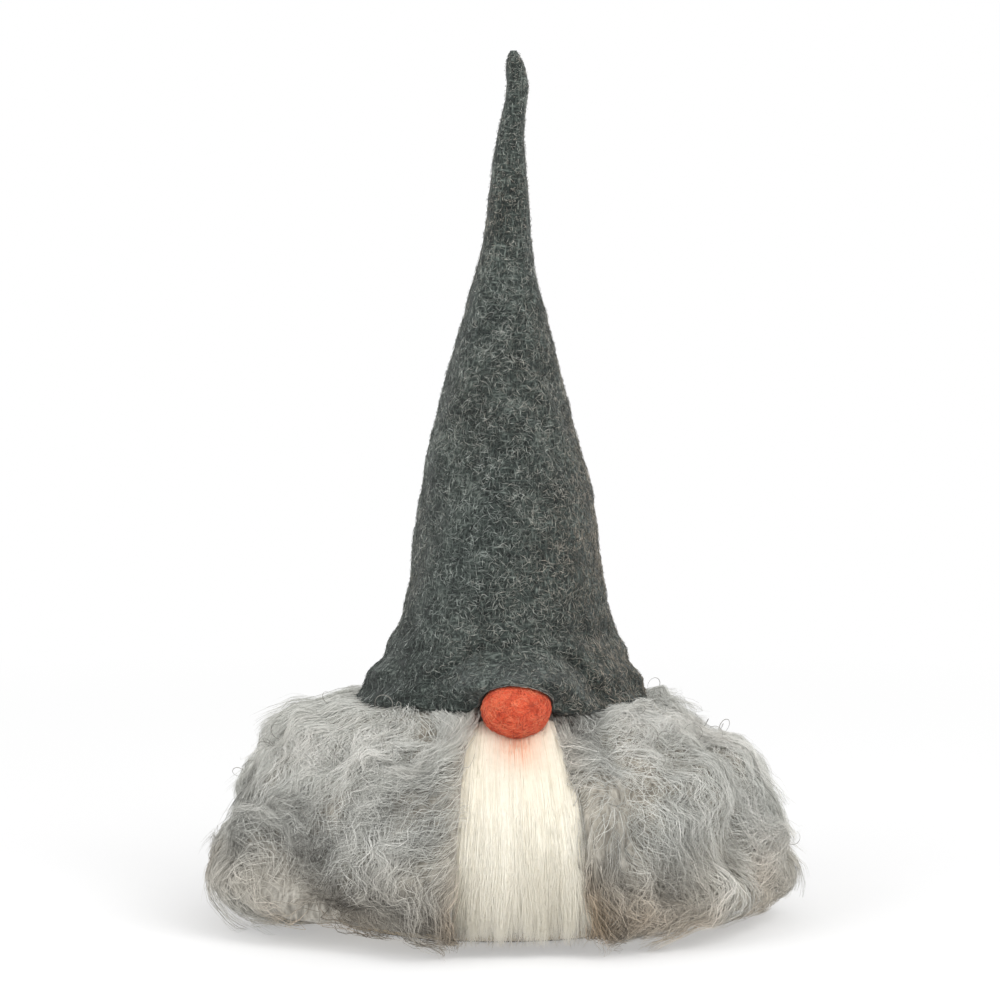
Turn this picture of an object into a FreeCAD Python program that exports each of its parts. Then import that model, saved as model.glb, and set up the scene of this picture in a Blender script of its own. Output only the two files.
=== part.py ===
"""A hand-made tomte gnome: a weighted, stuffed body in a sheepskin coat, with a wool beard, a felted ball
nose and a tall felted hat. Millimetres. +Z is up and -Y is the front. The origin is the centre of the sole,
on the table. Every layer from the sole up to the neck is turned round the Z axis and then narrowed in Y.
"""

import math
import os

import FreeCAD
import Part
from FreeCAD import Vector

# ---- Driving dimensions -------------------------------------------------------------------------------
HEIGHT = 295.0  # table to the top of the hat
DEPTH_RATIO = 0.85  # depth of the body over its width
GAP = 0.3  # clearance between pieces that touch in the real object

COAT_BOTTOM_Z = 1.2  # lower edge of the sheepskin's leather
COAT_TOP_Z = 86.0  # upper edge of the leather, inside the hat
# Outside of the sheepskin's leather, as (radius in X, height).
BODY_PROFILE = [
    (58, COAT_BOTTOM_Z),
    (64, 12),
    (66, 26),
    (62, 42),
    (54, 55),
    (47, 66),
    (42, 76),
    (39.5, COAT_TOP_Z),
]
LEATHER = 1.2
BAG_SLACK = 1.0  # room between the leather and the inner bag, for the thread of the seams
BAG_CLOTH = 0.6

# Outside of the wool, as (radius in X, height), from the table up to the brim of the hat.
FLEECE_PROFILE = [
    (90, 1.0),
    (98, 9),
    (100, 17),
    (95, 29),
    (92, 38),
    (90, 48),
    (84, 56),
    (76, 63),
    (67, 70),
    (56, 74),
]
FLEECE_FOOT_RADIUS = 61.0  # where the underside of the wool meets the leather
FLEECE_FOOT_Z = 4.5
PARTING = 1.6  # half width of the parting in the wool at the back seam

SOLE_RADIUS = 56.3
SOLE_THICKNESS = 2.2
SOLE_BEVEL = 0.8
SOLE_BEVEL_WIDTH = 3.0
BOARD_RADIUS = 50.0
BOARD_THICKNESS = 3.0
BAG_FLOOR_Z = 2.6
BAG_FLOOR_RADIUS = 54.0
# The weight bag is a soft round pouch that lies on the board.
POUCH_RADIUS = 40.0
POUCH_HEIGHT = 16.0

# Gathered neck of the inner bag, as (radius in X, height).
NECK_PROFILE = [(36.5, 87), (31, 96), (20, 103), (8, 107), (7, 110), (11, 114)]
STRING_Z = 110.0
STRING_THICKNESS = 1.6

# The beard, as (half width, distance in front of the Z axis, height). The last one is its lower tip.
BEARD_SECTIONS = [
    (13.2, 47, 75),
    (15, 54.5, 66),
    (16.8, 62, 57),
    (18.2, 70, 46),
    (19.8, 76, 30),
    (21.3, 80.5, 15),
    (22, 80, 2),
]
BEARD_THICKNESS = 9.0
BEARD_HINGE_Y = -57.0  # the hair bends just under the nose
BEARD_HINGE_Z = 56.0
BEARD_KNUCKLE = 5.6  # radius that the hair turns in at the bend
BEARD_SIDE_GAP = 0.8
# The gap between the lobes is as wide as the beard this far below it, so that the beard can lift.
BEARD_SWING_ROOM = 9.0
STRIP_WIDTH = 27.0
STRIP_HEIGHT = 5.0
STRIP_THICKNESS = 1.6
STRIP_Z = 59.5  # height of the strip's middle

NOSE_CENTRE = Vector(0, -47.0, 77.6)
NOSE_RADII = (11.3, 9.8, 9.5)
NOSE_GAP = 0.4
NOSE_HOLE = 0.6
NOSE_THREAD = 0.5

FELT = 3.5  # thickness of the hat's felt
BRIM_Z = 75.6
# Outside of the hat, as (height, radius, sideways shift of its centre). It leans to +X, and its tip hooks back.
HAT_SECTIONS = [
    (BRIM_Z, 49.0, 0.0),
    (82, 45.2, 0.0),
    (90, 40.8, 0.0),
    (100, 36.0, 0.0),
    (115, 33.0, 0.0),
    (135, 30.3, 0.0),
    (155, 26.6, 0.0),
    (175, 22.0, 0.0),
    (195, 16.4, 0.2),
    (213, 11.9, 0.5),
    (230, 8.5, 0.9),
    (247, 6.4, 1.3),
    (262, 4.9, 1.8),
    (272, 4.1, 2.9),
    (281, 3.6, 4.1),
    (288, 3.4, 3.9),
    (HEIGHT - 1.5, 1.9, 3.2),
]
# The felt bulges out over the nose in a rounded peak: its centre, half sizes and flat lower edge.
PEAK_CENTRE = Vector(0, -36.0, 85.0)
PEAK_RADII = (24, 16.5, 12)
HAT_OVAL_Z = 150.0  # above this the hat is round, and below it narrows in depth down to BRIM_OVAL
BRIM_OVAL = 0.87
HAT_HOLLOW_TOP_Z = 236.0  # the felt is solid above this
HAT_STUFFING_Z = (116.0, 141.0)

# Where the felt of the hat bends: (centre of the bend, radius of the ball cut there).
LEAN = (Vector(0.0, 0, 170.0), 25.6)
NOD = (Vector(0.5, 0, 213.0), 13.4)
CURL = (Vector(1.8, 0, 262.0), 5.9)
BEND_GAP = 0.4

THREAD = 0.25  # half thickness of the sewing thread
SOLE_STITCHES = 52
SEAM_STITCHES = 14
SEAM_PITCH = 5.0
SEAM_START_Z = 8.0
HAT_STITCHES = 30
FAR = 400.0


# ---- Ways of making a solid ---------------------------------------------------------------------------
def spline(points):
    curve = Part.BSplineCurve()
    curve.interpolate([Vector(r, 0, z) for r, z in points])
    return curve


def line(a, b):
    return Part.makeLine(Vector(a[0], 0, a[1]), Vector(b[0], 0, b[1]))


def squash(shape):
    """Narrows a turned shape in Y, from a circle to the body's oval."""
    narrow = FreeCAD.Matrix()
    narrow.scale(1, DEPTH_RATIO, 1)
    return shape.transformGeometry(narrow)


def turn(edges):
    """Turns a closed outline once round the Z axis."""
    face = Part.Face(Part.Wire(Part.__sortEdges__(edges)))
    return face.revolve(Vector(0, 0, 0), Vector(0, 0, 1), 360)


def turned_core(points):
    """The solid from the Z axis out to a smooth profile."""
    low, high = (0, points[0][1]), (0, points[-1][1])
    return turn([spline(points).toShape(), line(points[-1], high), line(high, low), line(low, points[0])])


def turned_wall(outside, inside):
    """A turned wall between two smooth profiles, closed by straight edges at both ends."""
    ends = [line(outside[-1], inside[-1]), line(inside[0], outside[0])]
    return turn([spline(outside).toShape(), spline(inside).toShape()] + ends)


def box(x0, x1, y0, y1, z0, z1):
    return Part.makeBox(x1 - x0, y1 - y0, z1 - z0, Vector(x0, y0, z0))


def one_solid(shape):
    """The largest solid of a boolean's result."""
    return max(shape.Solids, key=lambda solid: solid.Volume)


def oval(radius, z):
    """A flat oval outline with the body's depth ratio."""
    return Part.Wire([Part.Ellipse(Vector(0, 0, z), radius, radius * DEPTH_RATIO).toShape()])


def ellipsoid(centre, radii, grow=0.0):
    ball = Part.makeSphere(1.0)
    stretch = FreeCAD.Matrix()
    stretch.scale(*[r + grow for r in radii])
    shape = ball.transformGeometry(stretch)
    shape.translate(centre)
    return shape


def capsule(start, end, radius):
    """A short stitch: a bar with round ends."""
    along = end.sub(start)
    bar = Part.makeCylinder(radius, along.Length, start, along)
    return bar.fuse([Part.makeSphere(radius, start), Part.makeSphere(radius, end)]).removeSplitter()


def radius_at(profile, z):
    """The smooth profile's radius at a height."""
    curve = spline(profile)
    low, high = curve.FirstParameter, curve.LastParameter
    for _ in range(40):
        middle = (low + high) / 2
        if curve.value(middle).z < z:
            low = middle
        else:
            high = middle
    return curve.value(low).x


# ---- Body: sole, board, weight, bag and stuffing ------------------------------------------------------
def sole_felt():
    outlines = [(SOLE_RADIUS - SOLE_BEVEL_WIDTH, 0), (SOLE_RADIUS, SOLE_BEVEL), (SOLE_RADIUS, SOLE_THICKNESS)]
    return Part.makeLoft([oval(radius, z) for radius, z in outlines], True, True)


def sole_stitches():
    """Overcast stitches that lie on the bevel and hold the sole to the coat's lower edge."""
    stitches = []
    for i in range(SOLE_STITCHES):
        angle = 2 * math.pi * (i + 0.5) / SOLE_STITCHES
        out = Vector(math.cos(angle), DEPTH_RATIO * math.sin(angle), 0)
        inner = out * (SOLE_RADIUS - SOLE_BEVEL_WIDTH + 0.6) + Vector(0, 0, 0.6)
        outer = out * (SOLE_RADIUS + 1.0) + Vector(0, 0, 1.5)
        stitches.append(capsule(inner, outer, THREAD + 0.1))
    return Part.makeCompound(stitches)


def pouch(grow):
    """The weight bag's round, flat-bottomed shape, larger by grow on every side."""
    floor = BAG_FLOOR_Z + BAG_CLOTH + BOARD_THICKNESS + 2 * GAP
    top, r = floor + POUCH_HEIGHT, POUCH_RADIUS
    points = [
        (r * 0.86 + grow, floor - grow),
        (r + grow, floor + POUCH_HEIGHT * 0.4),
        (r * 0.72 + grow, top - POUCH_HEIGHT * 0.08 + grow),
        (r * 0.3, top + grow),
    ]
    ends = [line((0, top + grow), (0, floor - grow)), line((0, floor - grow), points[0])]
    return turn([spline(points).toShape(), line(points[-1], (0, top + grow))] + ends)


def bag_profile(shrink):
    """The inner bag's outline, from its floor up to the gathered neck."""
    inset = LEATHER + BAG_SLACK + shrink
    floor = [(BAG_FLOOR_RADIUS - shrink, BAG_FLOOR_Z + shrink)]
    side = [(r - inset, z) for r, z in BODY_PROFILE[1:-1]]
    return floor + side + [(r - shrink, z) for r, z in NECK_PROFILE]


def inner_bag():
    """A floor, a side and an open, gathered neck."""
    outside, inside = bag_profile(0), bag_profile(BAG_CLOTH)
    under, over = (0, outside[0][1]), (0, inside[0][1])
    floor = [line(outside[0], under), line(under, over), line(over, inside[0])]
    mouth = line(inside[-1], outside[-1])
    return squash(turn([spline(outside).toShape(), spline(inside).toShape(), mouth] + floor))


def base_board():
    outline = oval(BOARD_RADIUS, BAG_FLOOR_Z + BAG_CLOTH + GAP)
    return Part.Face(outline).extrude(Vector(0, 0, BOARD_THICKNESS))


def weight_bag():
    return squash(one_solid(pouch(0).cut(pouch(-BAG_CLOTH))))


def weight_fill():
    return squash(pouch(-BAG_CLOTH - GAP / 2))


def body_stuffing():
    """Loose wool that fills the bag above the board, shaped round the weight."""
    low = BAG_FLOOR_Z + BAG_CLOTH + BOARD_THICKNESS + 2 * GAP
    high = NECK_PROFILE[3][1] - 1
    room = box(-FAR, FAR, -FAR, FAR, low, high)
    core = turned_core(bag_profile(BAG_CLOTH + GAP)).common(room)
    return squash(one_solid(core.cut(pouch(GAP))))


def drawstring():
    """A cord tied round the bag's gathered neck, with a bow knot at the front."""
    neck = radius_at(NECK_PROFILE, STRING_Z)
    r = STRING_THICKNESS / 2
    ring = squash(Part.makeTorus(neck + r + GAP, r, Vector(0, 0, STRING_Z)))
    front = DEPTH_RATIO * (neck + STRING_THICKNESS + GAP)
    knot = Part.makeSphere(STRING_THICKNESS, Vector(0, -front - 0.4, STRING_Z))
    return one_solid(ring.fuse(knot))


# ---- Coat: two sheepskin halves -----------------------------------------------------------------------
def leather_tube():
    return squash(turned_wall(BODY_PROFILE, [(r - LEATHER, z) for r, z in BODY_PROFILE]))


def half_space(side, gap):
    """Everything on one side of the YZ plane, a little way off it. Side is -1 for the gnome's right."""
    return box(gap, FAR, -FAR, FAR, -FAR, FAR) if side > 0 else box(-FAR, -gap, -FAR, FAR, -FAR, FAR)


def coat_half(side):
    return one_solid(leather_tube().common(half_space(side, GAP / 2)))


def beard_gap():
    """The channel between the two lobes of wool that the beard hangs in."""
    half = [(w + BEARD_SIDE_GAP, z + BEARD_SWING_ROOM) for w, _, z in BEARD_SECTIONS]
    top, bottom = (half[0][0] + 3, FAR), (half[-1][0], -FAR)
    right = [top] + half + [bottom]
    outline = right + [(-x, z) for x, z in reversed(right)]
    corners = [Vector(x, 0, z) for x, z in outline + outline[:1]]
    return Part.Face(Part.makePolygon(corners)).extrude(Vector(0, -FAR, 0))


def fleece_half(side):
    inner = [(r + GAP, z) for r, z in BODY_PROFILE[1:-1]]
    foot, collar = (FLEECE_FOOT_RADIUS, FLEECE_FOOT_Z), (43.5, 73.2)
    inner = [foot] + inner[:-1] + [collar]
    edges = [
        spline(FLEECE_PROFILE).toShape(),
        line(FLEECE_PROFILE[-1], collar),
        spline(inner).toShape(),
        line(foot, FLEECE_PROFILE[0]),
    ]
    lobe = squash(turn(edges)).common(half_space(side, PARTING))
    nose = ellipsoid(NOSE_CENTRE, NOSE_RADII, NOSE_GAP)
    return one_solid(lobe.cut(beard_gap()).cut(nose))


def seam(front):
    """Whip stitches up the join of the two leather halves, at the front or the back."""
    loops = []
    for i in range(SEAM_STITCHES):
        z = SEAM_START_Z + i * SEAM_PITCH
        if front and abs(z - NOSE_CENTRE.z) < SEAM_PITCH / 2:
            continue  # the nose's thread passes here
        y = DEPTH_RATIO * (radius_at(BODY_PROFILE, z) - LEATHER / 2)
        loops.append(Part.makeTorus(0.95, THREAD, Vector(0, -y if front else y, z), Vector(0, 0.25, 1)))
    return Part.makeCompound(loops)


# ---- Beard and nose -----------------------------------------------------------------------------------
def beard_slab():
    """The whole lock of hair, before it is cut at the bend."""
    wires = []
    for half, front, z in BEARD_SECTIONS:
        back = front - BEARD_THICKNESS
        left, right = Vector(-half, -back, z), Vector(half, -back, z)
        bulge = Part.Arc(Vector(-half, -front + 1.5, z), Vector(0, -front, z), Vector(half, -front + 1.5, z))
        corners = [bulge.EndPoint, right, left, bulge.StartPoint]
        sides = [Part.makeLine(a, b) for a, b in zip(corners, corners[1:])]
        wires.append(Part.Wire([bulge.toShape()] + sides))
    return Part.makeLoft(wires, True, False)


def knuckle(radius):
    """A bar along X round the line that the beard bends at."""
    return Part.makeCylinder(radius, FAR, Vector(-FAR / 2, BEARD_HINGE_Y, BEARD_HINGE_Z), Vector(1, 0, 0))


def beard_crown():
    """The fixed top of the lock, held by the strip of skin it grows from."""
    above = box(-FAR, FAR, -FAR, FAR, BEARD_HINGE_Z, FAR)
    coat = squash(turned_core([(r + GAP, z) for r, z in BODY_PROFILE]))
    crown = beard_slab().common(above).cut(knuckle(BEARD_KNUCKLE + BEND_GAP)).cut(coat)
    return one_solid(crown.cut(ellipsoid(NOSE_CENTRE, NOSE_RADII, NOSE_GAP)).cut(strip_block(GAP)))


def beard_fall():
    """The hanging length of the lock."""
    below = box(-FAR, FAR, -FAR, FAR, -FAR, BEARD_HINGE_Z)
    return one_solid(beard_slab().common(below.fuse(knuckle(BEARD_KNUCKLE))))


def strip_block(grow):
    half = STRIP_WIDTH / 2 + grow
    low, high = STRIP_Z - STRIP_HEIGHT / 2, STRIP_Z + STRIP_HEIGHT / 2
    y = -DEPTH_RATIO * radius_at(BODY_PROFILE, low) - GAP
    return box(-half, half, y - STRIP_THICKNESS - grow, y + grow, low - grow, high + grow)


def beard_stitches():
    """Small stitches from the strip back into the leather."""
    block = strip_block(0).BoundBox
    stitches = []
    for i in range(5):
        x = (i - 2) * STRIP_WIDTH / 6
        start = Vector(x, block.YMin + 0.4, STRIP_Z)
        stitches.append(capsule(start, start + Vector(0, STRIP_THICKNESS + 2.4, 0), THREAD + 0.1))
    return Part.makeCompound(stitches)


def nose_ball():
    ball = ellipsoid(NOSE_CENTRE, NOSE_RADII)
    back = NOSE_CENTRE + Vector(0, NOSE_RADII[1] + 1, 0)
    hole = Part.makeCylinder(NOSE_HOLE, NOSE_RADII[1] + 1, back, Vector(0, -1, 0))
    return one_solid(ball.cut(hole))


def nose_thread():
    """The thread that ties the nose to the coat, with a knot inside the leather."""
    inside = DEPTH_RATIO * (radius_at(BODY_PROFILE, NOSE_CENTRE.z) - LEATHER) - 0.1
    start = NOSE_CENTRE + Vector(0, 0.5, 0)
    length = -start.y - inside
    return Part.makeCylinder(NOSE_THREAD, length, start, Vector(0, 1, 0))


# ---- Hat ----------------------------------------------------------------------------------------------
def oval_ratio(z):
    """Depth over width of the hat at a height."""
    rise = min(1.0, (z - BRIM_Z) / (HAT_OVAL_Z - BRIM_Z))
    return BRIM_OVAL + (1 - BRIM_OVAL) * rise


def hat_loft(wall, low, high):
    """The hat as a solid, with wall taken off its radius, from one height to another."""
    wires = []
    for z, r, x in HAT_SECTIONS:
        if low <= z <= high:
            radius = r - wall
            oval = Part.Ellipse(Vector(x, 0, z), radius, radius * oval_ratio(z))
            wires.append(Part.Wire([oval.toShape()]))
    return Part.makeLoft(wires, True, False)


def hat_felt():
    outside = hat_loft(0, BRIM_Z, HEIGHT)
    hollow = hat_loft(FELT, BRIM_Z, HAT_HOLLOW_TOP_Z)
    mouth = hollow.copy()
    mouth.translate(Vector(0, 0, -1.0))
    return one_solid(outside.cut(hollow).cut(mouth))


def above(bend, gap):
    """All that turns with the felt above a bend: the space over it and the ball round its centre."""
    centre, radius = bend
    return box(-FAR, FAR, -FAR, FAR, centre.z, FAR).fuse(Part.makeSphere(radius - gap, centre))


def hat_cone():
    """The brim and the lower cone, with the peak over the nose."""
    front = box(-FAR, FAR, -FAR, -20, PEAK_CENTRE.z, FAR)
    peak = ellipsoid(PEAK_CENTRE, PEAK_RADII).common(front).cut(hat_loft(FELT, BRIM_Z, HAT_HOLLOW_TOP_Z))
    nose = ellipsoid(NOSE_CENTRE, NOSE_RADII, NOSE_GAP)
    return one_solid(hat_felt().cut(above(LEAN, 0)).fuse(peak).cut(nose))


def hat_middle():
    return one_solid(hat_felt().common(above(LEAN, BEND_GAP)).cut(above(NOD, 0)))


def hat_upper():
    return one_solid(hat_felt().common(above(NOD, BEND_GAP)).cut(above(CURL, 0)))


def hat_tip():
    return one_solid(hat_felt().common(above(CURL, BEND_GAP)))


def hat_stuffing():
    low, high = HAT_STUFFING_Z
    hollow = hat_loft(FELT + GAP, BRIM_Z, HAT_HOLLOW_TOP_Z)
    return one_solid(hollow.common(box(-FAR, FAR, -FAR, FAR, low, high)))


def hat_stitches():
    """Hidden stitches between the inside of the brim and the top of the leather."""
    loops = []
    radius_x, radius_y, z, loop = 42.3, 36.4, 80.5, 2.4
    for i in range(HAT_STITCHES):
        angle = 2 * math.pi * (i + 0.5) / HAT_STITCHES
        place = Vector(radius_x * math.cos(angle), radius_y * math.sin(angle), z)
        if place.y < 0 and abs(place.x) < NOSE_RADII[0] + 3:
            continue
        tangent = Vector(-math.sin(angle), math.cos(angle), 0)
        loops.append(Part.makeTorus(loop, THREAD, place, tangent))
    return Part.makeCompound(loops)


# ---- Parts --------------------------------------------------------------------------------------------
PARTS = {
    "sole_felt": sole_felt,
    "sole_stitches": sole_stitches,
    "base_board": base_board,
    "weight_bag": weight_bag,
    "weight_fill": weight_fill,
    "inner_bag": inner_bag,
    "body_stuffing": body_stuffing,
    "drawstring": drawstring,
    "left_hide": lambda: coat_half(1),
    "right_hide": lambda: coat_half(-1),
    "left_fleece": lambda: fleece_half(1),
    "right_fleece": lambda: fleece_half(-1),
    "front_seam": lambda: seam(True),
    "back_seam": lambda: seam(False),
    "beard_strip": lambda: strip_block(0),
    "beard_stitches": beard_stitches,
    "beard_crown": beard_crown,
    "beard_fall": beard_fall,
    "nose_ball": nose_ball,
    "nose_thread": nose_thread,
    "hat_cone": hat_cone,
    "hat_middle": hat_middle,
    "hat_upper": hat_upper,
    "hat_tip": hat_tip,
    "hat_stuffing": hat_stuffing,
    "hat_stitches": hat_stitches,
}


def main():
    os.makedirs("parts", exist_ok=True)
    for name, make in PARTS.items():
        shape = make()
        if not shape.isValid():
            raise ValueError(f"{name} is not a valid shape")
        shape.exportStep(f"parts/{name}.step")


main()
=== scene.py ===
"""The looks of a hand-made tomte gnome: curly sheepskin coat, combed beard, felted ball nose and felted hat.

Shapes are worked out in millimetres and turned into metres when a mesh is made. +Z is up and -Y is the front.
Every hair and fibre is a thin closed tube, so the whole figure is plain mesh.
"""

import math

import bmesh
import bpy
import numpy as np
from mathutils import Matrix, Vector


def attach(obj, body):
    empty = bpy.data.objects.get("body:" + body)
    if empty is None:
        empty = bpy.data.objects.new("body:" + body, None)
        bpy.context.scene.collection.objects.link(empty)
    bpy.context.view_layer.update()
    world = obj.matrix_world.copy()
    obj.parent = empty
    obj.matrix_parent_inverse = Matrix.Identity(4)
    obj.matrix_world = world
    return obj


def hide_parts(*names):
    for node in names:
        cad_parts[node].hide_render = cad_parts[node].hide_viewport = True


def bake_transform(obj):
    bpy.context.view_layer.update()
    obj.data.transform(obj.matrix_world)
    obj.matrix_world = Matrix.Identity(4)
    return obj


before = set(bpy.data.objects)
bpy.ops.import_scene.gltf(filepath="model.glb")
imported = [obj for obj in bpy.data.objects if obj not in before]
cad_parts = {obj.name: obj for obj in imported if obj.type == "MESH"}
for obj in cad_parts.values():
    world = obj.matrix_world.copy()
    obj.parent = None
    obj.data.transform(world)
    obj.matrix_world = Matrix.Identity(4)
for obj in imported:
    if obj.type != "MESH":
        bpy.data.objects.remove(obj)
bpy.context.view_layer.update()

MM = 0.001
DEPTH_RATIO = 0.85  # depth of the body over its width
FRONT = -math.pi / 2  # azimuth of the gnome's front; 0 is +X
MOST_TUBE_FACES = 190_000  # triangles in one piece of hair
HAIR_END = 0.3  # how thick a hair's first and last rings are, as a share of the hair there


# ---- Smooth random fields ----------------------------
def waves(seed, wavelength, count=14):
    """A smooth random field over points, mostly between -1 and 1, made of plane waves."""
    draw = np.random.default_rng(seed)
    direction = draw.normal(size=(count, 3))
    direction /= np.linalg.norm(direction, axis=1, keepdims=True)
    pace = direction * (2 * math.pi / (wavelength * draw.uniform(0.7, 1.5, (count, 1))))
    phase = draw.uniform(0, 2 * math.pi, count)
    return lambda points: np.sin(points @ pace.T + phase).sum(-1) * 0.7 / math.sqrt(count)


def smoothstep(low, high, x):
    t = np.clip((x - low) / (high - low), 0, 1)
    return t * t * (3 - 2 * t)


def smooth_table(rows, spacing=1.0, blur=2.0):
    """A function of a table's first column that gives the others, with their corners rounded off."""
    rows = np.asarray(rows, float)
    at = rows[:, 0]
    fine = np.arange(at[0], at[-1] + spacing / 2, spacing)
    pad = int(4 * blur / spacing)
    kernel = np.exp(-0.5 * (np.arange(-pad, pad + 1) * spacing / blur) ** 2)
    kernel /= kernel.sum()
    columns = []
    for column in rows.T[1:]:
        values = np.interp(fine, at, column)
        first = 2 * values[0] - values[pad:0:-1]
        last = 2 * values[-1] - values[-2 : -pad - 2 : -1]
        columns.append(np.convolve(np.concatenate([first, values, last]), kernel, "valid"))
    return lambda x: [np.interp(x, fine, column) for column in columns]


def shade(tone):
    """Keeps the tones of hairs just inside the ends of their colour ramp."""
    return np.clip(tone, 0.02, 0.98)


# ---- Meshes ------------------------------------------
def mesh_from(name, points, faces, values=None, sharp=None):
    """A smooth-shaded mesh object. points are in mm; faces is a list of arrays of corner indices; values is
    {attribute: one number per point}; sharp flags the points of rings where the shading breaks."""
    p = points[faces[0]]
    volume = (p[:, 0] * (np.cross(p[:, 1], p[:, 2]) + np.cross(p[:, 2], p[:, 3]))).sum()
    if volume < 0:  # the faces point inward
        faces = [f[:, ::-1] for f in faces]
    mesh = bpy.data.meshes.new(name)
    mesh.vertices.add(len(points))
    mesh.vertices.foreach_set("co", (points * MM).astype(np.float32).ravel())
    corners = np.concatenate([f.ravel() for f in faces]).astype(np.int32)
    sizes = np.concatenate([np.full(len(f), f.shape[1]) for f in faces])
    mesh.loops.add(len(corners))
    mesh.loops.foreach_set("vertex_index", corners)
    mesh.polygons.add(len(sizes))
    mesh.polygons.foreach_set("loop_start", np.concatenate([[0], np.cumsum(sizes)[:-1]]).astype(np.int32))
    mesh.polygons.foreach_set("use_smooth", np.ones(len(sizes), bool))
    mesh.update(calc_edges=True)
    for key, numbers in (values or {}).items():
        layer = mesh.attributes.new(key, "FLOAT", "POINT")
        layer.data.foreach_set("value", np.asarray(numbers, np.float32).ravel())
    if sharp is not None:
        ends = np.zeros(len(mesh.edges) * 2, np.int32)
        mesh.edges.foreach_get("vertices", ends)
        ends = ends.reshape(-1, 2)
        layer = mesh.attributes.new("sharp_edge", "BOOLEAN", "EDGE")
        layer.data.foreach_set("value", sharp[ends].all(1))
    obj = bpy.data.objects.new(name, mesh)
    bpy.context.scene.collection.objects.link(obj)
    return obj


def sweep(name, rings, closed, sharp=None):
    """A closed mesh over rings (count, points, 3): joined back to the first ring, or capped at both ends."""
    count, size = rings.shape[:2]
    index = np.arange(count * size).reshape(count, size)
    after = np.roll(index, -1, axis=1)
    follow, follow_after = np.roll(index, -1, axis=0), np.roll(after, -1, axis=0)
    last = count if closed else count - 1
    quads = np.stack([index, after, follow_after, follow], axis=-1)[:last].reshape(-1, 4)
    faces = [quads] if closed else [quads, index[:1, ::-1], index[-1:]]
    return mesh_from(name, rings.reshape(-1, 3), faces, sharp=None if sharp is None else sharp.ravel())


def tubes(name, paths, thickness, values, sides=3):
    """Closed, tapered tubes along paths (count, steps, 3), as a list of objects of limited size.

    thickness is (count, steps); values is {attribute: (count, steps)}.
    """
    share = MOST_TUBE_FACES // (sides * 2 * (paths.shape[1] - 1) + 2)
    made = []
    for number, first in enumerate(range(0, len(paths), share)):
        part = slice(first, first + share)
        piece_values = {key: value[part] for key, value in values.items()}
        made.append(tube_piece(f"{name}_{number + 1:02d}", paths[part], thickness[part], piece_values, sides))
    return made


def tube_piece(name, paths, thickness, values, sides):
    count, steps = paths.shape[:2]
    along = np.gradient(paths, axis=1)
    along /= np.linalg.norm(along, axis=2, keepdims=True) + 1e-9
    side = np.empty_like(paths)
    helper = np.where(np.abs(along[:, 0, 2:3]) > 0.8, [1.0, 0.0, 0.0], [0.0, 0.0, 1.0])
    for step in range(steps):
        # The frame is carried along the hair without a twist.
        carried = np.cross(along[:, 0], helper) if step == 0 else side[:, step - 1]
        carried = carried - along[:, step] * (carried * along[:, step]).sum(1, keepdims=True)
        side[:, step] = carried / (np.linalg.norm(carried, axis=1, keepdims=True) + 1e-9)
    up = np.cross(along, side)
    angles = 2 * math.pi * np.arange(sides) / sides
    ring = side[:, :, None] * np.cos(angles)[:, None] + up[:, :, None] * np.sin(angles)[:, None]
    points = paths[:, :, None] + ring * thickness[:, :, None, None]
    index = np.arange(count * steps * sides).reshape(count, steps, sides)
    after = np.roll(index, -1, axis=2)
    quads = np.stack([index[:, :-1], after[:, :-1], after[:, 1:], index[:, 1:]], axis=-1).reshape(-1, 4)
    spread = {key: np.repeat(value[:, :, None], sides, axis=2) for key, value in values.items()}
    return mesh_from(name, points.reshape(-1, 3), [quads, index[:, 0, ::-1], index[:, -1]], spread)


def taper(steps, root=0.6, tip=0.3):
    """How thick a hair is from root to tip, as a share of its full thickness."""
    t = np.linspace(0, 1, steps)
    shape = np.minimum(root + (1 - root) * t / 0.15, 1) * np.minimum(tip + (1 - tip) * (1 - t) / 0.45, 1)
    shape[[0, -1]] *= HAIR_END
    return shape


# ---- Materials ---------------------------------------
def srgb(r, g, b):
    """A colour given as 0 to 255 per channel, as the linear colour that shaders take."""
    channels = [c / 255 for c in (r, g, b)]
    linear = [c / 12.92 if c <= 0.04045 else ((c + 0.055) / 1.055) ** 2.4 for c in channels]
    return (*linear, 1.0)


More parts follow.
